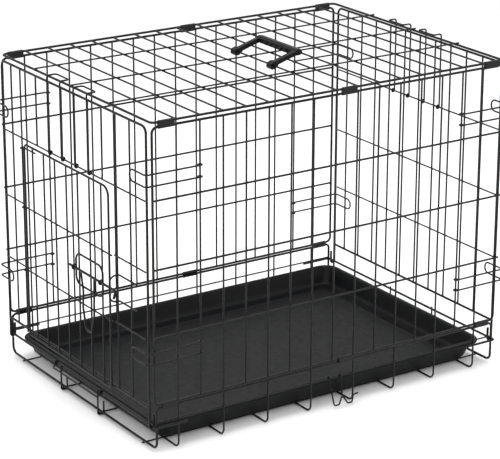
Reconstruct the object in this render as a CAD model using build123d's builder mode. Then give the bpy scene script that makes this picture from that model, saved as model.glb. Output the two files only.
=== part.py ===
from build123d import *
from math import cos, sin, radians
import os

os.makedirs("parts", exist_ok=True)

# Folding wire dog crate, millimetres. Z up, X along the length, door end at -X, front long side at -Y.

# ---- overall sizes ----
HALF_L = 303.5          # to the centre of the side frames' end posts
HALF_W = 216.0          # to the centre of the long rails
TOP_Z = 485.0           # top panel frame
BASE_RAIL_Z = 69.0      # upper rail of the folded-up base
RAIL_GAP = 4.4          # base rail to side panel rail, centre to centre
SIDE_LOW_Z = BASE_RAIL_Z + RAIL_GAP
SIDE_TOP_Z = 478.4
PITCH = 2 * HALF_L / 16  # spacing of the upright wires

# ---- wire radii ----
FRAME_R = 1.8
BAR_R = 1.75
STRINGER_R = 1.2
BELT_R = 1.5
THIN_R = 1.35
PIVOT_R = 1.35          # the uprights that the side hooks turn on
HOOK_R = 1.3
DOOR_R = 1.6
ROD_R = 1.9

# ---- gaps ----
WELD = 0.02             # between wires that are welded to each other
CUT = 0.01              # between the straight and bent lengths of one wire
RUN = 0.05              # running clearance of a wire in an eye
CLEAR = 0.3             # between wires that pass each other

# ---- base ----
CROSS_Z = THIN_R
STRINGER_Z = CROSS_Z + THIN_R + STRINGER_R + WELD
FLOOR_Z = STRINGER_Z + STRINGER_R + FRAME_R + WELD
BAR_Z = 41.0
END_X = HALF_L + 4.6    # plane of the end panel frames
BAR_X = END_X - (FRAME_R + BAR_R + RUN)
LEG_X = BAR_X - (BAR_R + FRAME_R + WELD)
WALL_Y = HALF_W + 0.95
MID_Y = WALL_Y - (THIN_R + STRINGER_R + WELD)
MID_Z = 46.0

# ---- side panels ----
BELT_Y = HALF_W + FRAME_R + BELT_R + 0.26
UPRIGHT_Y = BELT_Y - (BELT_R + THIN_R + WELD)
PIVOT_Y = BELT_Y - (BELT_R + PIVOT_R + WELD)
PIVOT_X = HALF_L - 2 * PITCH
BELT_ZS = (176.0, 276.0, 376.0)
CLIP_LENGTH = 25.0
CLIP_WALL = 0.9

# ---- end panels ----
END_HALF = 208.6
END_TOP_Z = 478.6
END_LOW_Z = 69.0
END_UP_X = END_X - FRAME_R + THIN_R
END_BAR_X = END_UP_X + THIN_R + STRINGER_R + WELD
END_FIRST_Y = -163.5
END_PITCH = 38.2
END_ZS = (171.0, 271.0, 374.0)
CURL_TOP_Z = 58.0

# ---- door ----
DOOR_Y = (-112.0, 135.3)
DOOR_Z = (66.0, 368.0)
HINGE_R = 1.3
HINGE_Y = 142.1
HINGE_X = END_BAR_X + STRINGER_R + HINGE_R + WELD
EYE_R = STRINGER_R + HINGE_R + RUN
DOOR_BAR_X = HINGE_X - EYE_R
DOOR_X = DOOR_BAR_X + STRINGER_R + DOOR_R + WELD
DOOR_UP_X = DOOR_BAR_X + STRINGER_R + THIN_R + WELD
DOOR_UP_YS = (-91.0, -57.5, -24.0, 9.5, 43.0, 76.5, 110.0)
DOOR_BAR_ZS = (167.6, 267.6)
DOOR_EYE_Z = 360.0
ROD_Z = 224.0


def length_of(v):
    return (v.X * v.X + v.Y * v.Y + v.Z * v.Z) ** 0.5


def straight(a, b, r):
    """A straight length of round wire from a to b."""
    a, b = Vector(*a), Vector(*b)
    with BuildSketch(Plane(origin=a, z_dir=b - a)) as section:
        Circle(r)
    return extrude(section.sketch, amount=length_of(b - a), mode=Mode.PRIVATE)


def arc_wire(start, direction, centre, axis, degrees, r):
    """A bent length of round wire, turned about an axis through its centre of curvature."""
    with BuildSketch(Plane(origin=start, z_dir=direction)) as section:
        Circle(r)
    return revolve(section.sketch, axis=Axis(centre, axis), revolution_arc=degrees, mode=Mode.PRIVATE)


def bent_wire(points, r, bend, closed=False):
    """Round wire along a polyline with bends of one radius: a list of its straight and bent lengths."""
    pts = [Vector(*p) for p in points]
    n = len(pts)
    corners = range(n) if closed else range(1, n - 1)
    starts, ends, pieces = dict(enumerate(pts)), dict(enumerate(pts)), []
    for i in corners:
        before, here, after = pts[i - 1], pts[i], pts[(i + 1) % n]
        d_in = (here - before).normalized()
        d_out = (after - here).normalized()
        normal = d_in.cross(d_out)
        angle = d_in.get_angle(d_out)
        size = bend[i] if isinstance(bend, (list, tuple)) else bend
        back = size * sin(radians(angle / 2)) / cos(radians(angle / 2))
        start = here - d_in * back
        centre = start + normal.normalized().cross(d_in) * size
        pieces.append(arc_wire(start, d_in, centre, normal, angle, r))
        ends[i] = start - d_in * CUT
        starts[i] = here + d_out * (back + CUT)
    for i in range(n if closed else n - 1):
        a, b = starts[i], ends[(i + 1) % n]
        if length_of(b - a) > 0.05:
            pieces.append(straight(tuple(a), tuple(b), r))
    return pieces


def finish(part, name, tint):
    part.label = name
    part.color = Color(*tint)
    export_step(part, f"parts/{name}.step")


BLACK = (0.02, 0.02, 0.022)
STEEL = (0.04, 0.04, 0.045)
PLASTIC = (0.015, 0.015, 0.017)


# =========================== BASE ===========================

with BuildPart() as base_frame:
    loop = [
        (-LEG_X, -HALF_W, BASE_RAIL_Z), (LEG_X, -HALF_W, BASE_RAIL_Z),
        (LEG_X, -HALF_W, FLOOR_Z), (LEG_X, HALF_W, FLOOR_Z),
        (LEG_X, HALF_W, BASE_RAIL_Z), (-LEG_X, HALF_W, BASE_RAIL_Z),
        (-LEG_X, HALF_W, FLOOR_Z), (-LEG_X, -HALF_W, FLOOR_Z),
    ]
    add(bent_wire(loop, FRAME_R, [7, 7, 10, 10, 7, 7, 10, 10], closed=True))
finish(base_frame.part, "base_frame", BLACK)

with BuildPart() as base_cross_wires:
    cross = []
    top = BASE_RAIL_Z - FRAME_R - WELD
    for i in range(1, 16, 2):
        x = -HALF_L + i * PITCH
        cross += bent_wire(
            [(x, -WALL_Y, top), (x, -WALL_Y, CROSS_Z), (x, WALL_Y, CROSS_Z), (x, WALL_Y, top)],
            THIN_R, 10,
        )
    add(cross)
finish(base_cross_wires.part, "base_cross_wires", BLACK)

with BuildPart() as base_floor_stringers:
    with BuildSketch(Plane.YZ.offset(-HALF_L)) as ends:
        with Locations((-180, STRINGER_Z), (-55, STRINGER_Z), (55, STRINGER_Z), (180, STRINGER_Z)):
            Circle(STRINGER_R)
    extrude(amount=2 * HALF_L)
finish(base_floor_stringers.part, "base_floor_stringers", BLACK)

with BuildPart() as base_side_wires:
    reach = LEG_X - FRAME_R - WELD
    with BuildSketch(Plane.YZ.offset(-reach)) as ends:
        with Locations((-MID_Y, MID_Z), (MID_Y, MID_Z)):
            Circle(STRINGER_R)
    extrude(amount=2 * reach)
finish(base_side_wires.part, "base_side_wires", BLACK)

RETURN_Y = WALL_Y + THIN_R + BAR_R + WELD


def end_bar(side):
    tail = BAR_X - 52
    return bent_wire(
        [
            (side * tail, -RETURN_Y, BAR_Z), (side * BAR_X, -RETURN_Y, BAR_Z),
            (side * BAR_X, RETURN_Y, BAR_Z), (side * tail, RETURN_Y, BAR_Z),
        ],
        BAR_R, BAR_R + FRAME_R + WELD,
    )


def bar_supports(side):
    """Two J-shaped wires from the end bar down and under the floor end wire."""
    pieces = []
    outer = BAR_X + BAR_R + HOOK_R + WELD
    inner = LEG_X - FRAME_R - HOOK_R - WELD
    low = FLOOR_Z - FRAME_R - HOOK_R - WELD
    for y in (-60.5, 49.5):
        pieces += bent_wire(
            [(side * outer, y, BAR_Z + 2), (side * outer, y, low), (side * inner, y, low),
             (side * inner, y, 23.0)],
            HOOK_R, 3,
        )
    return pieces


with BuildPart() as door_end_bar:
    add(end_bar(-1))
finish(door_end_bar.part, "door_end_bar", BLACK)

with BuildPart() as rear_end_bar:
    add(end_bar(1))
finish(rear_end_bar.part, "rear_end_bar", BLACK)

with BuildPart() as door_bar_supports:
    add(bar_supports(-1))
finish(door_bar_supports.part, "door_bar_supports", BLACK)

with BuildPart() as rear_bar_supports:
    add(bar_supports(1))
finish(rear_bar_supports.part, "rear_bar_supports", BLACK)


# =========================== SIDE PANELS ===========================


def side_frame(side):
    y = side * HALF_W
    return bent_wire(
        [(-HALF_L, y, SIDE_LOW_Z), (HALF_L, y, SIDE_LOW_Z),
         (HALF_L, y, SIDE_TOP_Z), (-HALF_L, y, SIDE_TOP_Z)],
        FRAME_R, 8, closed=True,
    )


def side_uprights(side):
    low, high = SIDE_LOW_Z + FRAME_R + WELD, SIDE_TOP_Z - FRAME_R - WELD
    pieces = []
    for i in range(1, 16):
        pivot = i in (2, 14)
        y = side * (PIVOT_Y if pivot else UPRIGHT_Y)
        x = -HALF_L + i * PITCH
        pieces.append(straight((x, y, low), (x, y, high), PIVOT_R if pivot else THIN_R))
    return pieces


def side_stringers(side):
    reach = HALF_L + 2.0
    return [straight((-reach, side * BELT_Y, z), (reach, side * BELT_Y, z), BELT_R) for z in BELT_ZS]


def clips(side, low, high, tight_low, centres):
    """Crimped sleeves round two neighbouring rails: tight on one rail, free to turn on the other."""
    y = side * HALF_W
    made = []
    for x in centres:
        across = Plane(origin=(x - CLIP_LENGTH / 2, 0, 0), x_dir=(0, 1, 0), z_dir=(1, 0, 0))
        with BuildSketch(across) as shape:
            with Locations((y, (low + high) / 2)):
                SlotCenterToCenter(high - low, 2 * (FRAME_R + CLIP_WALL), rotation=90)
            with Locations((y, low)):
                Circle(FRAME_R + (WELD if tight_low else RUN), mode=Mode.SUBTRACT)
            with Locations((y, high)):
                Circle(FRAME_R + (RUN if tight_low else WELD), mode=Mode.SUBTRACT)
        made.append(extrude(shape.sketch, amount=CLIP_LENGTH, mode=Mode.PRIVATE))
    return made


LOW_CLIPS = (-280.2, 23.5, 280.2)
TOP_CLIPS = (-281.0, 23.0, 281.0)

with BuildPart() as front_frame:
    add(side_frame(-1))
finish(front_frame.part, "front_side_frame", BLACK)

with BuildPart() as front_uprights:
    add(side_uprights(-1))
finish(front_uprights.part, "front_side_uprights", BLACK)

with BuildPart() as front_stringers:
    add(side_stringers(-1))
finish(front_stringers.part, "front_side_stringers", BLACK)

with BuildPart() as front_clips:
    add(clips(-1, BASE_RAIL_Z, SIDE_LOW_Z, False, LOW_CLIPS))
finish(front_clips.part, "front_base_hinge_clips", STEEL)

with BuildPart() as back_frame:
    add(side_frame(1))
finish(back_frame.part, "back_side_frame", BLACK)

with BuildPart() as back_uprights:
    add(side_uprights(1))
finish(back_uprights.part, "back_side_uprights", BLACK)

with BuildPart() as back_stringers:
    add(side_stringers(1))
finish(back_stringers.part, "back_side_stringers", BLACK)

with BuildPart() as back_clips:
    add(clips(1, BASE_RAIL_Z, SIDE_LOW_Z, False, LOW_CLIPS))
finish(back_clips.part, "back_base_hinge_clips", STEEL)


# =========================== TOP PANEL ===========================

TOP_CROSS_Z = TOP_Z + FRAME_R - THIN_R
TOP_STRINGER_Z = TOP_CROSS_Z + THIN_R + STRINGER_R + WELD

with BuildPart() as top_frame:
    add(bent_wire(
        [(-HALF_L, -HALF_W, TOP_Z), (HALF_L, -HALF_W, TOP_Z),
         (HALF_L, HALF_W, TOP_Z), (-HALF_L, HALF_W, TOP_Z)],
        FRAME_R, 8, closed=True,
    ))
finish(top_frame.part, "top_frame", BLACK)

with BuildPart() as top_cross_wires:
    start_y = -HALF_W + FRAME_R + WELD
    with BuildSketch(Plane.XZ.offset(-start_y)) as ends:
        with Locations(*[(-HALF_L + i * PITCH, TOP_CROSS_Z) for i in range(1, 16)]):
            Circle(THIN_R)
    extrude(amount=2 * start_y)
finish(top_cross_wires.part, "top_cross_wires", BLACK)

with BuildPart() as top_stringers:
    reach = HALF_L + 2.4
    with BuildSketch(Plane.YZ.offset(-reach)) as ends:
        with Locations((-108, TOP_STRINGER_Z), (0, TOP_STRINGER_Z), (108, TOP_STRINGER_Z)):
            Circle(STRINGER_R)
    extrude(amount=2 * reach)
finish(top_stringers.part, "top_stringers", BLACK)

with BuildPart() as top_front_clips:
    add(clips(-1, SIDE_TOP_Z, TOP_Z, False, TOP_CLIPS))
finish(top_front_clips.part, "top_front_hinge_clips", STEEL)

with BuildPart() as top_back_clips:
    add(clips(1, SIDE_TOP_Z, TOP_Z, False, TOP_CLIPS))
finish(top_back_clips.part, "top_back_hinge_clips", STEEL)


# =========================== CARRYING HANDLE ===========================

GRIP_TILT = 13.0
HANDLE_X = 0.0
FEET_Y = (-54.0, 42.0)
ARM_LENGTH = 47.0


def tilted(u, v):
    """A point u along the arms and v above them, from the wire the handle turns on."""
    a = radians(GRIP_TILT)
    return HANDLE_X + u * cos(a) - v * sin(a), TOP_CROSS_Z + u * sin(a) + v * cos(a)


with BuildPart() as handle:
    for y in FEET_Y:
        with BuildSketch(Plane(origin=(0, y - 6, 0), x_dir=(1, 0, 0), z_dir=(0, -1, 0))) as foot:
            with BuildLine():
                Polyline(
                    tilted(-7, -1), tilted(-4.5, 4.6), tilted(3, 5.6), tilted(8, 3.4),
                    tilted(7, -2.6), tilted(0.5, -5.2), tilted(-5, -4.4), close=True,
                )
            make_face()
        extrude(amount=-12)
        with BuildSketch(Plane(origin=(0, y - 4, 0), x_dir=(1, 0, 0), z_dir=(0, -1, 0))) as arm:
            with BuildLine():
                Polyline(
                    tilted(5, -2.2), tilted(5, 4.4), tilted(ARM_LENGTH - 4, 6.6),
                    tilted(ARM_LENGTH, 0.0), tilted(28, -0.4), close=True,
                )
            make_face()
        extrude(amount=-8)
    with BuildSketch(Plane(origin=(0, FEET_Y[0] - 4, 0), x_dir=(1, 0, 0), z_dir=(0, -1, 0))) as grip:
        with BuildLine():
            Polyline(
                tilted(ARM_LENGTH - 8, 0.2), tilted(ARM_LENGTH - 6, 6.4), tilted(ARM_LENGTH - 1, 8.0),
                tilted(ARM_LENGTH + 5, 6.2), tilted(ARM_LENGTH + 6, 0.6),
                tilted(ARM_LENGTH + 1, -1.6), close=True,
            )
        make_face()
    extrude(amount=-(FEET_Y[1] - FEET_Y[0] + 8))
    for k in range(5):
        y = (FEET_Y[0] + FEET_Y[1]) / 2 + (k - 2) * 13.0
        gx, gz = tilted(ARM_LENGTH - 7, 1.2)
        with BuildSketch(Plane(origin=(gx, y, gz), x_dir=(0, 1, 0), z_dir=(0, 0, 1))) as ridge:
            Ellipse(5.4, 3.6)
        extrude(amount=4.2)
    with BuildSketch(Plane(origin=(0, FEET_Y[0] - 20, 0), x_dir=(1, 0, 0), z_dir=(0, -1, 0))) as bore:
        with Locations((HANDLE_X, TOP_CROSS_Z)):
            Circle(THIN_R + RUN)
    extrude(amount=-(FEET_Y[1] - FEET_Y[0] + 40), mode=Mode.SUBTRACT)
finish(handle.part, "carry_handle", PLASTIC)


# =========================== END PANELS ===========================


def end_frame(side):
    """Frame wire down both posts; each post ends in a tall curl turned under the end bar."""
    x = side * END_X
    inner = side * (2 * BAR_X - END_X)
    bend = END_X - BAR_X
    pieces = bent_wire(
        [(x, -END_HALF, BAR_Z), (x, -END_HALF, END_TOP_Z), (x, END_HALF, END_TOP_Z), (x, END_HALF, BAR_Z)],
        FRAME_R, 10,
    )
    for y in (-END_HALF, END_HALF):
        pieces.append(arc_wire((x, y, BAR_Z - CUT), (0, 0, -1), (side * BAR_X, y, BAR_Z - CUT),
                               (0, side, 0), 180, FRAME_R))
        pieces.append(straight((inner, y, BAR_Z), (inner, y, CURL_TOP_Z), FRAME_R))
    reach = END_HALF - FRAME_R - WELD
    pieces.append(straight((x, -reach, END_LOW_Z), (x, reach, END_LOW_Z), FRAME_R))
    return pieces


END_YS = [END_FIRST_Y + k * END_PITCH for k in range(10)]


def end_uprights(side, doorway):
    x = side * END_UP_X
    high = END_TOP_Z - FRAME_R - WELD
    pieces = []
    for y in END_YS:
        if doorway and abs(y - HINGE_Y) < 2:
            continue
        over_door = doorway and DOOR_Y[0] - 5 < y < DOOR_Y[1]
        low = END_ZS[2] - STRINGER_R if over_door else END_LOW_Z + FRAME_R + WELD
        pieces.append(straight((x, y, low), (x, y, high), THIN_R))
    return pieces


def end_horizontals(side, doorway):
    x = side * END_BAR_X
    reach = END_HALF - FRAME_R - WELD
    pieces = [straight((x, -reach, END_ZS[2]), (x, reach, END_ZS[2]), STRINGER_R)]
    for z in END_ZS[:2]:
        if doorway:
            pieces.append(straight((x, -reach, z), (x, END_YS[1] + 3.0, z), STRINGER_R))
            pieces.append(straight((x, HINGE_Y - 1.5, z), (x, reach, z), STRINGER_R))
        else:
            pieces.append(straight((x, -reach, z), (x, reach, z), STRINGER_R))
    return pieces


with BuildPart() as door_end_frame:
    add(end_frame(-1))
finish(door_end_frame.part, "door_end_frame", BLACK)

with BuildPart() as door_end_uprights:
    add(end_uprights(-1, True))
finish(door_end_uprights.part, "door_end_uprights", BLACK)

with BuildPart() as door_end_horizontals:
    add(end_horizontals(-1, True))
finish(door_end_horizontals.part, "door_end_horizontals", BLACK)

with BuildPart() as door_hinge_wire:
    with BuildSketch(Plane.XY.offset(END_LOW_Z - 1.5)) as section:
        with Locations((-HINGE_X, HINGE_Y)):
            Circle(HINGE_R)
    extrude(amount=END_TOP_Z - END_LOW_Z + 3)
finish(door_hinge_wire.part, "door_hinge_wire", BLACK)

KEEPER_Y = -133.0
KEEPER_LOW = 206.0
KEEPER_HIGH = 245.0
KEEPER_X = END_UP_X + THIN_R + HOOK_R + WELD
KEEPER_REACH = 325.5

with BuildPart() as bolt_keeper:
    add(bent_wire(
        [(-KEEPER_X, -182, KEEPER_HIGH), (-KEEPER_X, KEEPER_Y, KEEPER_HIGH),
         (-KEEPER_REACH, KEEPER_Y, KEEPER_HIGH), (-KEEPER_REACH, KEEPER_Y, KEEPER_LOW),
         (-KEEPER_X, KEEPER_Y, KEEPER_LOW), (-KEEPER_X, -182, KEEPER_LOW)],
        HOOK_R, [0, 3, 10, 10, 3, 0],
    ))
finish(bolt_keeper.part, "bolt_keeper", BLACK)

with BuildPart() as rear_end_frame:
    add(end_frame(1))
finish(rear_end_frame.part, "rear_end_frame", BLACK)

with BuildPart() as rear_end_uprights:
    add(end_uprights(1, False))
finish(rear_end_uprights.part, "rear_end_uprights", BLACK)

with BuildPart() as rear_end_horizontals:
    add(end_horizontals(1, False))
finish(rear_end_horizontals.part, "rear_end_horizontals", BLACK)


# =========================== DOOR AND BOLT ===========================

with BuildPart() as door_frame:
    add(bent_wire(
        [(-DOOR_X, DOOR_Y[0], DOOR_Z[0]), (-DOOR_X, DOOR_Y[1], DOOR_Z[0]),
         (-DOOR_X, DOOR_Y[1], DOOR_Z[1]), (-DOOR_X, DOOR_Y[0], DOOR_Z[1])],
        DOOR_R, [6, 6, 8, 14], closed=True,
    ))
finish(door_frame.part, "door_frame", BLACK)

with BuildPart() as door_uprights:
    low, high = DOOR_Z[0] + DOOR_R + WELD, DOOR_Z[1] - DOOR_R - WELD
    with BuildSketch(Plane.XY.offset(low)) as section:
        with Locations(*[(-DOOR_UP_X, y) for y in DOOR_UP_YS]):
            Circle(THIN_R)
    extrude(amount=high - low)
finish(door_uprights.part, "door_uprights", BLACK)

with BuildPart() as door_horizontals:
    wires = []
    for z, start in ((DOOR_BAR_ZS[0], -114), (DOOR_BAR_ZS[1], -114), (DOOR_EYE_Z, 107)):
        wires.append(straight((-DOOR_BAR_X, start, z), (-DOOR_BAR_X, HINGE_Y - CUT, z), STRINGER_R))
        pin = (-HINGE_X, HINGE_Y, z)
        wires.append(arc_wire((-DOOR_BAR_X, HINGE_Y, z), (0, 1, 0), pin, (0, 0, 1), 275, STRINGER_R))
    add(wires)
finish(door_horizontals.part, "door_horizontals_and_hinge_eyes", BLACK)

GUIDE_R = 1.5
GUIDE_X = DOOR_UP_X + THIN_R + GUIDE_R + WELD
ROD_X = GUIDE_X + GUIDE_R + ROD_R + RUN
GUIDE_Y = (-97.0, -20.0)
GUIDE_Z = (199.0, 246.0)

with BuildPart() as bolt_guide:
    guide = bent_wire(
        [(-GUIDE_X, GUIDE_Y[0], GUIDE_Z[0]), (-GUIDE_X, GUIDE_Y[1], GUIDE_Z[0]),
         (-GUIDE_X, GUIDE_Y[1], GUIDE_Z[1]), (-GUIDE_X, GUIDE_Y[0], GUIDE_Z[1])],
        GUIDE_R, 12, closed=True,
    )
    staple = ROD_R + 1.2 + RUN
    for y in GUIDE_Y:
        rod = (-ROD_X, y, ROD_Z)
        guide.append(arc_wire((-ROD_X, y, ROD_Z - staple), (-1, 0, 0), rod, (0, 1, 0), 180, 1.2))
        for dz in (-staple, staple):
            foot = (-GUIDE_X - GUIDE_R - WELD, y, ROD_Z + dz)
            guide.append(straight((-ROD_X + CUT, y, ROD_Z + dz), foot, 1.2))
    add(guide)
finish(bolt_guide.part, "bolt_guide", BLACK)

ROD_Y = (-139.0, -7.0)

with BuildPart() as bolt_rod:
    add(bent_wire(
        [(-ROD_X, ROD_Y[1], ROD_Z), (-ROD_X, ROD_Y[0], ROD_Z), (-ROD_X - 2.6, ROD_Y[0] + 1.5, ROD_Z - 11.5)],
        ROD_R, 4,
    ))
finish(bolt_rod.part, "bolt_rod", BLACK)

with BuildPart() as bolt_grip:
    under = ROD_Z - ROD_R - 0.3
    add(bent_wire(
        [(-ROD_X, -40, under), (-ROD_X, -46, 194), (-ROD_X, -44, 170), (-ROD_X, -52, 137),
         (-ROD_X, -68, 137), (-ROD_X, -76, 165), (-ROD_X, -78, under)],
        1.5, [0, 8, 12, 6, 6, 12, 0],
    ))
finish(bolt_grip.part, "bolt_grip", BLACK)


# =========================== PAN AND PAN STOP ===========================

PAN_Z = FLOOR_Z + FRAME_R + CLEAR
PAN_TOP = 39.0
PAN_X = (-296.0, 296.0)
PAN_HALF = 206.5
PAN_WALL = 2.2
PAN_LENGTH = PAN_X[1] - PAN_X[0]
PAN_MID = (PAN_X[0] + PAN_X[1]) / 2

with BuildPart() as pan:
    with BuildSketch(Plane.XY.offset(PAN_Z)) as foot:
        with Locations((PAN_MID, 0)):
            RectangleRounded(PAN_LENGTH - 36, 2 * PAN_HALF - 36, 15)
    with BuildSketch(Plane.XY.offset(PAN_TOP - 2.5)) as mouth:
        with Locations((PAN_MID, 0)):
            RectangleRounded(PAN_LENGTH - 12, 2 * PAN_HALF - 12, 21)
    loft()
    with BuildSketch(Plane.XY.offset(PAN_Z + PAN_WALL)) as foot_in:
        with Locations((PAN_MID, 0)):
            RectangleRounded(PAN_LENGTH - 41, 2 * PAN_HALF - 41, 13)
    with BuildSketch(Plane.XY.offset(PAN_TOP + 0.5)) as mouth_in:
        with Locations((PAN_MID, 0)):
            RectangleRounded(PAN_LENGTH - 16, 2 * PAN_HALF - 16, 19)
    loft(mode=Mode.SUBTRACT)
    with BuildSketch(Plane.XY.offset(PAN_TOP - 5.0)) as lip:
        with Locations((PAN_MID, 0)):
            RectangleRounded(PAN_LENGTH, 2 * PAN_HALF, 25)
            RectangleRounded(PAN_LENGTH - 16.5, 2 * PAN_HALF - 16.5, 19, mode=Mode.SUBTRACT)
    extrude(amount=5.0)
    rim_edges = edges().filter_by(lambda e: abs(e.center().Z - PAN_TOP) < 0.01)
    fillet(rim_edges, 1.6)
    with BuildSketch(Plane.XY.offset(PAN_Z + PAN_WALL + 0.05)) as level_cut:
        Rectangle(PAN_LENGTH + 20, 2 * PAN_HALF + 20)
    extrude(amount=CUT, mode=Mode.SUBTRACT)
    with BuildSketch(Plane.XY.offset(PAN_Z + PAN_WALL + 0.05)) as corner_cuts:
        with Locations((PAN_MID - PAN_LENGTH / 2 + 46, 0), (PAN_MID + PAN_LENGTH / 2 - 46, 0)):
            Rectangle(CUT, 2 * PAN_HALF + 20)
        with Locations((PAN_MID, PAN_HALF - 46), (PAN_MID, 46 - PAN_HALF)):
            Rectangle(PAN_LENGTH + 20, CUT)
    extrude(amount=PAN_TOP, mode=Mode.SUBTRACT)
finish(pan.part, "floor_pan", PLASTIC)

STOP_Y = (-66.5, 68.0)
STOP_ANGLE = 45.0
STOP_DROP = 9.6

with BuildPart() as pan_stop:
    eye = BAR_R + 1.2 + RUN
    out = (-cos(radians(STOP_ANGLE)), 0, -sin(radians(STOP_ANGLE)))
    far = (-BAR_X + out[0] * STOP_DROP, BAR_Z + out[2] * STOP_DROP)
    near = (-BAR_X + out[0] * eye, BAR_Z + out[2] * eye)
    pieces = []
    for y in STOP_Y:
        pieces.append(arc_wire((-BAR_X + eye, y, BAR_Z), (0, 0, 1), (-BAR_X, y, BAR_Z), (0, -1, 0), 350, 1.2))
    step = eye + 1.2 + WELD
    a = (-BAR_X + out[0] * step, STOP_Y[0], BAR_Z + out[2] * step)
    d = (-BAR_X + out[0] * step, STOP_Y[1], BAR_Z + out[2] * step)
    pieces += bent_wire([a, (far[0], STOP_Y[0], far[1]), (far[0], STOP_Y[1], far[1]), d], 1.2, 3)
    add(pieces)
finish(pan_stop.part, "pan_stop", BLACK)


# =========================== FOLDING LATCH ON THE BASE ===========================

LATCH_TILT = 19.0


def hang(x, t):
    """A point t down the hanging latch, at x along the crate."""
    a = radians(LATCH_TILT)
    return x, -MID_Y - t * sin(a), MID_Z - t * cos(a)


with BuildPart() as fold_latch:
    eye = STRINGER_R + 1.2 + RUN
    pieces = []
    for x in (-4.0, 16.0):
        pieces.append(arc_wire((x, -MID_Y + eye, MID_Z), (0, 0, 1), (x, -MID_Y, MID_Z), (1, 0, 0), 350, 1.2))
    step = eye + 1.2 + WELD
    pieces += bent_wire(
        [hang(-4, step), hang(-3, 42), hang(6, 42), hang(14, 29), hang(21, 43), hang(29, 43), hang(33, 33),
         hang(42, 32)],
        1.2, 2.6,
    )
    pieces.append(straight(hang(16, step), hang(14.3, 26.6), 1.2))
    add(pieces)
finish(fold_latch.part, "fold_latch", BLACK)


# =========================== SWING HOOKS ===========================

HOOK_X = DOOR_X + DOOR_R + CLEAR + HOOK_R
HOOK_EYE = PIVOT_R + HOOK_R + RUN
HOOK_Y = PIVOT_Y + HOOK_EYE
HOOK_HALF = 8.5


def side_hook(end, side, z):
    """One wire: an eye on the upright, out round the corner, a U-bend, and back to a second eye."""
    pieces = []
    px = end * PIVOT_X
    turn = -1 if end * side > 0 else 1
    for dz in (-HOOK_HALF, HOOK_HALF):
        eye_x = px - end * CUT
        upright = (eye_x, side * PIVOT_Y, z + dz)
        pieces.append(arc_wire((eye_x, side * HOOK_Y, z + dz), (-end, 0, 0), upright, (0, 0, -turn), 290, HOOK_R))
        pieces += bent_wire(
            [(px, side * HOOK_Y, z + dz), (end * HOOK_X, side * HOOK_Y, z + dz),
             (end * HOOK_X, side * 186.0, z + dz)],
            HOOK_R, 5,
        )
    pieces.append(arc_wire((end * HOOK_X, side * (186.0 - CUT), z - HOOK_HALF), (0, -side, 0),
                           (end * HOOK_X, side * (186.0 - CUT), z), (-side, 0, 0), 180, HOOK_R))
    return pieces


SIDE_HOOKS = (
    ("front_left", -1, -1), ("front_right", 1, -1), ("back_left", -1, 1), ("back_right", 1, 1),
)
for place, end, side in SIDE_HOOKS:
    for level, z in (("upper", 406.0), ("lower", 146.0)):
        with BuildPart() as hook:
            add(side_hook(end, side, z))
        finish(hook.part, f"hook_{place}_{level}", BLACK)

TOP_HOOK_EYE = STRINGER_R + HOOK_R + RUN
TOP_HOOK_X = END_BAR_X + TOP_HOOK_EYE
TOP_HOOK_Z = 490.0
TOP_HOOK_IN = 297.5


def top_hook(end, ys):
    """A wide U: two eyes on the end panel's upper horizontal, up outside the frame, in over the top rail."""
    z = END_ZS[2]
    pieces = bent_wire(
        [(end * TOP_HOOK_X, ys[0], z), (end * TOP_HOOK_X, ys[0], TOP_HOOK_Z), (end * TOP_HOOK_IN, ys[0], TOP_HOOK_Z),
         (end * TOP_HOOK_IN, ys[1], TOP_HOOK_Z), (end * TOP_HOOK_X, ys[1], TOP_HOOK_Z), (end * TOP_HOOK_X, ys[1], z)],
        HOOK_R, [0, 4, 4, 4, 4, 0],
    )
    for y in ys:
        pieces.append(arc_wire((end * TOP_HOOK_X, y, z - CUT), (0, 0, -1), (end * END_BAR_X, y, z - CUT),
                               (0, end, 0), 290, HOOK_R))
    return pieces


for label, end in (("door_end", -1), ("rear_end", 1)):
    for place, ys in (("front", (-56.0, -18.0)), ("back", (21.0, 59.0))):
        with BuildPart() as hook:
            add(top_hook(end, ys))
        finish(hook.part, f"top_hook_{label}_{place}", BLACK)
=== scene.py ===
import math

import bpy
from mathutils import Matrix, Vector


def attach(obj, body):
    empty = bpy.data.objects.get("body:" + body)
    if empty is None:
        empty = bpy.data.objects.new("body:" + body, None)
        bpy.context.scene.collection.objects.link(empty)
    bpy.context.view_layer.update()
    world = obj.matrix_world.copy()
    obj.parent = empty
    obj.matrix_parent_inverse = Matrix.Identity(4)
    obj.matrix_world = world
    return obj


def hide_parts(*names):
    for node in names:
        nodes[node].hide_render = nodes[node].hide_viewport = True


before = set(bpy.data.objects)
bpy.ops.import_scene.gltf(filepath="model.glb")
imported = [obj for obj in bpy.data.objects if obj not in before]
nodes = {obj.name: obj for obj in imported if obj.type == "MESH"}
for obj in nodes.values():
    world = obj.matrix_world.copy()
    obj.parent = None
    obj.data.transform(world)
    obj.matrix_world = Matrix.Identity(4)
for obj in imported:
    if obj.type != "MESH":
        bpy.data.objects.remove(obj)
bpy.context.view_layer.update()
MM = 0.001

# Places in the CAD, in millimetres: X along the length, Y across, Z up.
HALF_L = 303.5          # end posts of the long sides
GAPS = 16               # wire gaps along the length
PITCH = 2 * HALF_L / GAPS
UPRIGHT_XS = [-HALF_L + i * PITCH for i in range(1, GAPS)]
FRAME_R = 1.8           # radius of the frame wires


# ---------------- meshes ----------------

def new_mesh(name, verts, faces):
    """A smooth-shaded mesh object from vertices in millimetres."""
    mesh = bpy.data.meshes.new(name)
    mesh.from_pydata([(x * MM, y * MM, z * MM) for x, y, z in verts], [], faces)
    mesh.validate()
    for p in mesh.polygons:
        p.use_smooth = True
    obj = bpy.data.objects.new(name, mesh)
    bpy.context.scene.collection.objects.link(obj)
    return obj


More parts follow.
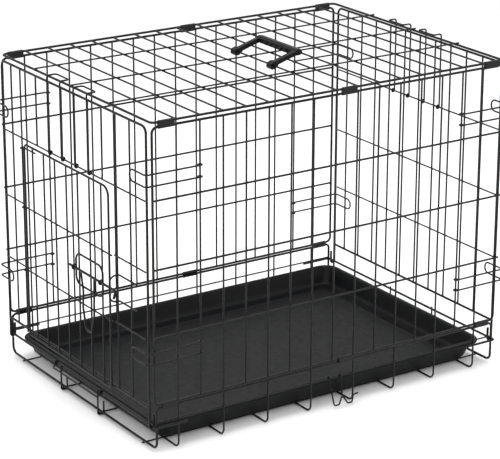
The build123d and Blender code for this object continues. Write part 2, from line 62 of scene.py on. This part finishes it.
def bridge(rings):
    """Faces between rings of equal length, closed by a cap at each end, as (verts, faces)."""
    n = len(rings[0])
    verts = [v for ring in rings for v in ring]
    faces = []
    for k in range(len(rings) - 1):
        for i in range(n):
            j = (i + 1) % n
            faces.append((k * n + i, k * n + j, (k + 1) * n + j, (k + 1) * n + i))
    faces.append(tuple(reversed(range(n))))
    faces.append(tuple(range((len(rings) - 1) * n, len(rings) * n)))
    return verts, faces


def rounded_rect(hx, hy, r, z, corner=14, side=10):
    """Points round a rounded rectangle, anticlockwise, with extra points along its sides."""
    pts = []
    corners = [(1, 1, 0), (-1, 1, 90), (-1, -1, 180), (1, -1, 270)]
    arcs = []
    for sx, sy, a0 in corners:
        arc = []
        for k in range(corner + 1):
            a = math.radians(a0 + 90 * k / corner)
            arc.append((sx * (hx - r) + r * math.cos(a), sy * (hy - r) + r * math.sin(a), z))
        arcs.append(arc)
    for i in range(4):
        pts += arcs[i]
        a, b = arcs[i][-1], arcs[(i + 1) % 4][0]
        for k in range(1, side):
            t = k / side
            pts.append((a[0] + (b[0] - a[0]) * t, a[1] + (b[1] - a[1]) * t, z))
    return pts


def bead(centre, along, across, normal, radii, rows=6, cols=10):
    """An ellipsoid of weld metal, as (verts, faces)."""
    la, lb, lc = radii
    verts, faces = [], []
    for i in range(rows + 1):
        t = math.pi * i / rows
        for j in range(cols):
            p = 2 * math.pi * j / cols
            u = math.cos(t) * lc
            s = math.sin(t)
            verts.append(tuple(
                centre[k] + across[k] * math.cos(p) * s * lb + along[k] * math.sin(p) * s * la + normal[k] * u
                for k in range(3)))
    for i in range(rows):
        for j in range(cols):
            q = (j + 1) % cols
            faces.append((i * cols + j, i * cols + q, (i + 1) * cols + q, (i + 1) * cols + j))
    return verts, faces


def beads(name, spots, body):
    """One object of weld beads at wire crossings; a spot is (point, normal axis, radii)."""
    verts, faces = [], []
    axes = {"x": (1, 0, 0), "y": (0, 1, 0), "z": (0, 0, 1)}
    for centre, normal, radii in spots:
        along, across = [axes[a] for a in "xyz" if a != normal]
        v, f = bead(centre, along, across, axes[normal], radii)
        start = len(verts)
        verts += v
        faces += [tuple(start + i for i in face) for face in f]
    obj = new_mesh(name, verts, faces)
    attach(obj, body)
    paint(obj, wire)


# ---------------- materials ----------------

def node_tree(name):
    mat = bpy.data.materials.new(name)
    mat.use_nodes = True
    return mat, mat.node_tree.nodes, mat.node_tree.links, mat.node_tree.nodes["Principled BSDF"]


def noise(ns, ls, coord, scale, detail=3.0, rough=0.5):
    n = ns.new("ShaderNodeTexNoise")
    n.inputs["Scale"].default_value = scale
    n.inputs["Detail"].default_value = detail
    n.inputs["Roughness"].default_value = rough
    ls.new(coord, n.inputs["Vector"])
    return n


def remap(ns, ls, value, a, b, c, d):
    m = ns.new("ShaderNodeMapRange")
    m.inputs["From Min"].default_value = a
    m.inputs["From Max"].default_value = b
    m.inputs["To Min"].default_value = c
    m.inputs["To Max"].default_value = d
    ls.new(value, m.inputs["Value"])
    return m.outputs["Result"]


def ramp(ns, ls, value, stops):
    r = ns.new("ShaderNodeValToRGB")
    while len(r.color_ramp.elements) > 1:
        r.color_ramp.elements.remove(r.color_ramp.elements[-1])
    r.color_ramp.elements[0].position = stops[0][0]
    r.color_ramp.elements[0].color = (*stops[0][1], 1)
    for pos, col in stops[1:]:
        e = r.color_ramp.elements.new(pos)
        e.color = (*col, 1)
    ls.new(value, r.inputs["Fac"])
    return r.outputs["Color"]


def bump(ns, ls, height, strength, distance, below=None):
    b = ns.new("ShaderNodeBump")
    b.inputs["Strength"].default_value = strength
    b.inputs["Distance"].default_value = distance
    ls.new(height, b.inputs["Height"])
    if below is not None:
        ls.new(below, b.inputs["Normal"])
    return b.outputs["Normal"]


def powder_coat(name, dark, light, rough):
    """Baked black powder: fine orange peel, drifts of thinner powder, rubbed patches."""
    mat, ns, ls, bsdf = node_tree(name)
    coord = ns.new("ShaderNodeTexCoord").outputs["Object"]
    drift = noise(ns, ls, coord, 38.0, 4.0, 0.6)
    peel = noise(ns, ls, coord, 1500.0, 2.0, 0.5)
    grain = noise(ns, ls, coord, 5200.0, 1.0, 0.4)
    rub = noise(ns, ls, coord, 140.0, 5.0, 0.62)
    ls.new(ramp(ns, ls, drift.outputs["Fac"], [(0.32, dark), (0.7, light)]), bsdf.inputs["Base Color"])
    ls.new(remap(ns, ls, rub.outputs["Fac"], 0.3, 0.72, rough - 0.06, rough + 0.1), bsdf.inputs["Roughness"])
    first = bump(ns, ls, peel.outputs["Fac"], 0.22, 0.0004)
    ls.new(bump(ns, ls, grain.outputs["Fac"], 0.1, 0.00015, first), bsdf.inputs["Normal"])
    bsdf.inputs["Specular IOR Level"].default_value = 0.2
    bsdf.inputs["Coat Weight"].default_value = 0.06
    bsdf.inputs["Coat Roughness"].default_value = 0.2
    return mat


def moulded(name, dark, light, rough, cell, depth):
    """Moulded plastic: a fine pebbled grain with faint scuffs and dull patches."""
    mat, ns, ls, bsdf = node_tree(name)
    coord = ns.new("ShaderNodeTexCoord").outputs["Object"]
    patch = noise(ns, ls, coord, 11.0, 5.0, 0.6)
    scuff = noise(ns, ls, coord, 90.0, 6.0, 0.7)
    pebble = ns.new("ShaderNodeTexVoronoi")
    pebble.feature = "SMOOTH_F1"
    pebble.inputs["Scale"].default_value = cell
    ls.new(coord, pebble.inputs["Vector"])
    fine = noise(ns, ls, coord, cell * 2.6, 2.0, 0.5)
    ls.new(ramp(ns, ls, patch.outputs["Fac"], [(0.3, dark), (0.72, light)]), bsdf.inputs["Base Color"])
    scuffed = remap(ns, ls, scuff.outputs["Fac"], 0.3, 0.75, rough - 0.07, rough + 0.09)
    ls.new(scuffed, bsdf.inputs["Roughness"])
    first = bump(ns, ls, pebble.outputs["Distance"], 0.35, depth)
    ls.new(bump(ns, ls, fine.outputs["Fac"], 0.15, depth * 0.5, first), bsdf.inputs["Normal"])
    bsdf.inputs["Specular IOR Level"].default_value = 0.12
    return mat


wire = powder_coat("coated_wire_black", (0.0014, 0.0014, 0.0016), (0.0034, 0.0034, 0.0038), 0.3)
strip = powder_coat("coated_clip_black", (0.003, 0.003, 0.0034), (0.007, 0.007, 0.0078), 0.34)
tray = moulded("pan_black_plastic", (0.0024, 0.0026, 0.0031), (0.0046, 0.0049, 0.0057), 0.42, 950.0, 0.00035)
grip = moulded("handle_black_plastic", (0.003, 0.003, 0.0033), (0.006, 0.006, 0.0066), 0.36, 1500.0, 0.00025)


def paint(obj, mat):
    obj.data.materials.clear()
    obj.data.materials.append(mat)


for name, obj in nodes.items():
    if name == "floor_pan":
        paint(obj, tray)
    elif name == "carry_handle":
        paint(obj, grip)
    elif name.endswith("hinge_clips"):
        paint(obj, strip)
    else:
        paint(obj, wire)


def soften(obj, width, segments):
    """Rounded moulded edges on a CAD node, as modifiers only."""
    w = obj.modifiers.new("weld", "WELD")
    w.merge_threshold = 0.00002
    b = obj.modifiers.new("edges", "BEVEL")
    b.width = width
    b.segments = segments
    b.limit_method = "ANGLE"
    b.angle_limit = math.radians(38)
    b.harden_normals = True


soften(nodes["carry_handle"], 0.0009, 3)


# ---------------- floor pan ----------------

PAN_HALF_X, PAN_HALF_Y = 296.0, 206.5
# From the underside's middle, out round the lip and back in. A point is its inset from the lip's edge,
# its corner radius and its height.
PAN_PROFILE = [
    (30.0, 10, 9.08), (19.6, 14, 9.1), (18.2, 15, 9.6), (17.4, 15.6, 10.7), (15.8, 16.6, 14.0),
    (9.0, 19.6, 31.5), (7.4, 20.4, 33.6), (4.6, 22, 34.5), (1.4, 24, 34.6), (0.5, 24.6, 34.9),
    (0.15, 25, 35.8), (0.2, 25, 37.2), (0.8, 24.4, 38.3), (2.0, 23.5, 38.85), (4.4, 21.8, 38.95),
    (6.6, 20.4, 38.6), (8.2, 19.4, 37.2), (9.4, 18.6, 34.6), (12.4, 16.8, 26.0), (15.2, 15.2, 18.4),
    (16.4, 14.6, 15.3), (18.2, 13.8, 13.1), (21.2, 12.4, 11.9), (26.0, 10.4, 11.4), (30.0, 9, 11.3),
    (34.0, 8, 11.34), (37.0, 7.4, 11.8), (38.6, 7, 12.1), (40.2, 6.6, 12.1), (41.8, 6.2, 11.8),
    (45.0, 5, 11.34), (52.0, 4, 11.3),
]
rings = [rounded_rect(PAN_HALF_X - inset, PAN_HALF_Y - inset, r, z) for inset, r, z in PAN_PROFILE]
pan = new_mesh("pan_tray", *bridge(rings))
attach(pan, "pan")
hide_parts("floor_pan")
paint(pan, tray)
normals = pan.modifiers.new("normals", "WEIGHTED_NORMAL")
normals.keep_sharp = True


# ---------------- weld beads at the crossings ----------------

SIDE_BELT_ZS = (176.0, 276.0, 376.0)
SIDE_LOW_Z, SIDE_TOP_Z = 73.4, 478.4
SIDE_CONTACT_Y = 219.56 - 1.5       # inner face of the belt wires
SIDE_UPRIGHT_Y = 216.69
SIDE_POST_Y = 217.9


def side_welds(label, side):
    spots = []
    for x in UPRIGHT_XS:
        for z in SIDE_BELT_ZS:
            spots.append(((x, side * SIDE_CONTACT_Y, z), "y", (1.7, 1.7, 0.75)))
        for z in (SIDE_LOW_Z + FRAME_R, SIDE_TOP_Z - FRAME_R):
            spots.append(((x, side * SIDE_UPRIGHT_Y, z), "z", (1.5, 1.5, 0.9)))
    for x in (-HALF_L, HALF_L):
        for z in SIDE_BELT_ZS:
            spots.append(((x, side * SIDE_POST_Y, z), "y", (1.5, 1.7, 0.7)))
    beads(label + "_welds", spots, "base")


TOP_STRINGER_YS = (-108, 0, 108)
TOP_EDGE_YS = (-214.2, 214.2)
TOP_STRINGER_Z, TOP_EDGE_Z, TOP_POST_Z = 486.8, 485.6, 486.85


def top_welds():
    spots = []
    for x in UPRIGHT_XS:
        for y in TOP_STRINGER_YS:
            spots.append(((x, y, TOP_STRINGER_Z), "z", (1.6, 1.6, 0.7)))
        for y in TOP_EDGE_YS:
            spots.append(((x, y, TOP_EDGE_Z), "y", (1.5, 1.5, 0.9)))
    for x in (-HALF_L, HALF_L):
        for y in TOP_STRINGER_YS:
            spots.append(((x, y, TOP_POST_Z), "z", (1.7, 1.5, 0.7)))
    beads("top_welds", spots, "base")


BASE_STRINGER_YS = (-180, -55, 55, 180)
BASE_LEG_X = 300.93
BASE_CROSS_Z, BASE_LEG_Z = 2.71, 5.13
BASE_MID_Y, BASE_MID_Z = 215.6, 46.0
BASE_RAIL_Y, BASE_RAIL_Z = 216.7, 67.2


def base_welds():
    spots = []
    for i in range(1, GAPS, 2):
        x = -HALF_L + i * PITCH
        for y in BASE_STRINGER_YS:
            spots.append(((x, y, BASE_CROSS_Z), "z", (1.6, 1.6, 0.6)))
        for side in (-1, 1):
            spots.append(((x, side * BASE_MID_Y, BASE_MID_Z), "y", (1.5, 1.5, 0.6)))
            spots.append(((x, side * BASE_RAIL_Y, BASE_RAIL_Z), "z", (1.6, 1.6, 0.8)))
    for x in (-BASE_LEG_X, BASE_LEG_X):
        for y in BASE_STRINGER_YS:
            spots.append(((x, y, BASE_LEG_Z), "z", (1.7, 1.5, 0.6)))
    beads("base_welds", spots, "base")


END_YS = [-163.5 + k * 38.2 for k in range(10)]
END_CROSS_X, END_FRAME_X = 309.0, 307.65
END_LOW_ZS, END_HIGH_Z = (171.0, 271.0), 374.0
END_BOTTOM_Z, END_TOP_Z = 70.8, 476.8
DOOR_OPENING = (-117, 135.3)
HINGE_Y = 142.1                     # the door's hinge wire stands here in place of an upright


def end_welds(end, body):
    spots = []
    for y in END_YS:
        if end < 0 and abs(y - HINGE_Y) < 2:
            continue
        spots.append(((end * END_CROSS_X, y, END_HIGH_Z), "x", (1.6, 1.6, 0.7)))
        spots.append(((end * END_FRAME_X, y, END_TOP_Z), "z", (1.5, 1.5, 0.9)))
        in_doorway = end < 0 and DOOR_OPENING[0] < y < DOOR_OPENING[1]
        if not in_doorway:
            for z in END_LOW_ZS:
                spots.append(((end * END_CROSS_X, y, z), "x", (1.6, 1.6, 0.7)))
            spots.append(((end * END_FRAME_X, y, END_BOTTOM_Z), "z", (1.5, 1.5, 0.9)))
    beads(body + "_welds", spots, body)


DOOR_YS = (-91.0, -57.5, -24.0, 9.5, 43.0, 76.5, 110.0)
DOOR_BAR_X, DOOR_BAR_ZS = -311.4, (167.6, 267.6)
DOOR_FRAME_X, DOOR_FRAME_ZS = -312.76, (67.6, 366.4)


def door_welds():
    spots = []
    for y in DOOR_YS:
        for z in DOOR_BAR_ZS:
            spots.append(((DOOR_BAR_X, y, z), "x", (1.6, 1.6, 0.7)))
        for z in DOOR_FRAME_ZS:
            spots.append(((DOOR_FRAME_X, y, z), "z", (1.5, 1.5, 0.9)))
    beads("door_welds", spots, "door")


side_welds("front_side", -1)
side_welds("back_side", 1)
top_welds()
base_welds()
end_welds(-1, "door_end")
end_welds(1, "rear_end")
door_welds()


# ---------------- floor, light, camera ----------------

def plain(name, colour, rough):
    mat, ns, ls, bsdf = node_tree(name)
    coord = ns.new("ShaderNodeTexCoord").outputs["Object"]
    n = noise(ns, ls, coord, 3.0, 3.0, 0.5)
    lo = tuple(c * 0.985 for c in colour)
    ls.new(ramp(ns, ls, n.outputs["Fac"], [(0.3, lo), (0.7, colour)]), bsdf.inputs["Base Color"])
    bsdf.inputs["Roughness"].default_value = rough
    return mat


FLOOR_FRONT, BEND_START, BEND_R = -9000.0, 5200.0, 2200.0
WALL_TOP, FLOOR_HALF_WIDTH = 9000.0, 12000.0
VIEW_PLACE = (-1.761, -2.656, 1.322)
VIEW_AZIMUTH, VIEW_ELEVATION, VIEW_ROLL = -33.515, 19.165, 0.171

sweep = [(FLOOR_FRONT, 0.0), (BEND_START, 0.0)]
for degrees in range(10, 91, 10):
    a = math.radians(degrees)
    sweep.append((BEND_START + BEND_R * math.sin(a), BEND_R - BEND_R * math.cos(a)))
sweep.append((BEND_START + BEND_R, WALL_TOP))
verts, faces = [], []
for y, z in sweep:
    verts += [(-FLOOR_HALF_WIDTH, y, z), (FLOOR_HALF_WIDTH, y, z)]
for k in range(len(sweep) - 1):
    faces.append((2 * k, 2 * k + 1, 2 * k + 3, 2 * k + 2))
floor = new_mesh("studio_sweep", verts, faces)
floor.rotation_euler = (0, 0, math.radians(-33.5))
paint(floor, plain("studio_white", (0.9, 0.9, 0.9), 0.75))

world = bpy.data.worlds.new("studio")
bpy.context.scene.world = world
world.use_nodes = True
background = world.node_tree.nodes["Background"]
background.inputs["Color"].default_value = (1, 1, 1, 1)
background.inputs["Strength"].default_value = 0.95


def area(name, place, target, power, sx, sy):
    data = bpy.data.lights.new(name, "AREA")
    data.shape = "RECTANGLE"
    data.size = sx
    data.size_y = sy
    data.energy = power
    obj = bpy.data.objects.new(name, data)
    obj.location = place
    obj.rotation_euler = (Vector(target) - Vector(place)).to_track_quat("-Z", "Y").to_euler()
    bpy.context.scene.collection.objects.link(obj)


area("overhead", (0.1, 0.2, 2.3), (0, 0, 0.2), 34, 2.2, 2.0)
area("key", (-2.0, -1.3, 1.9), (0, 0, 0.25), 26, 1.5, 1.4)
area("fill", (2.2, -1.8, 1.3), (0, 0, 0.25), 14, 1.6, 1.4)

data = bpy.data.cameras.new("camera")
data.lens = 159.3
data.sensor_width = 36.0
data.sensor_fit = "HORIZONTAL"
data.clip_end = 60.0
camera = bpy.data.objects.new("camera", data)
bpy.context.scene.collection.objects.link(camera)
az, el, roll = math.radians(VIEW_AZIMUTH), math.radians(VIEW_ELEVATION), math.radians(VIEW_ROLL)
back = Vector((math.sin(az) * math.cos(el), -math.cos(az) * math.cos(el), math.sin(el)))
right = Vector((0, 0, 1)).cross(back).normalized()
up = back.cross(right)
c, s = math.cos(roll), math.sin(roll)
cam_x = right * c + up * s
cam_y = up * c - right * s
turn = Matrix((cam_x, cam_y, back)).transposed().to_4x4()
camera.matrix_world = Matrix.Translation(VIEW_PLACE) @ turn
bpy.context.scene.camera = camera

scene = bpy.context.scene
scene.view_settings.view_transform = "Standard"
scene.view_settings.look = "None"
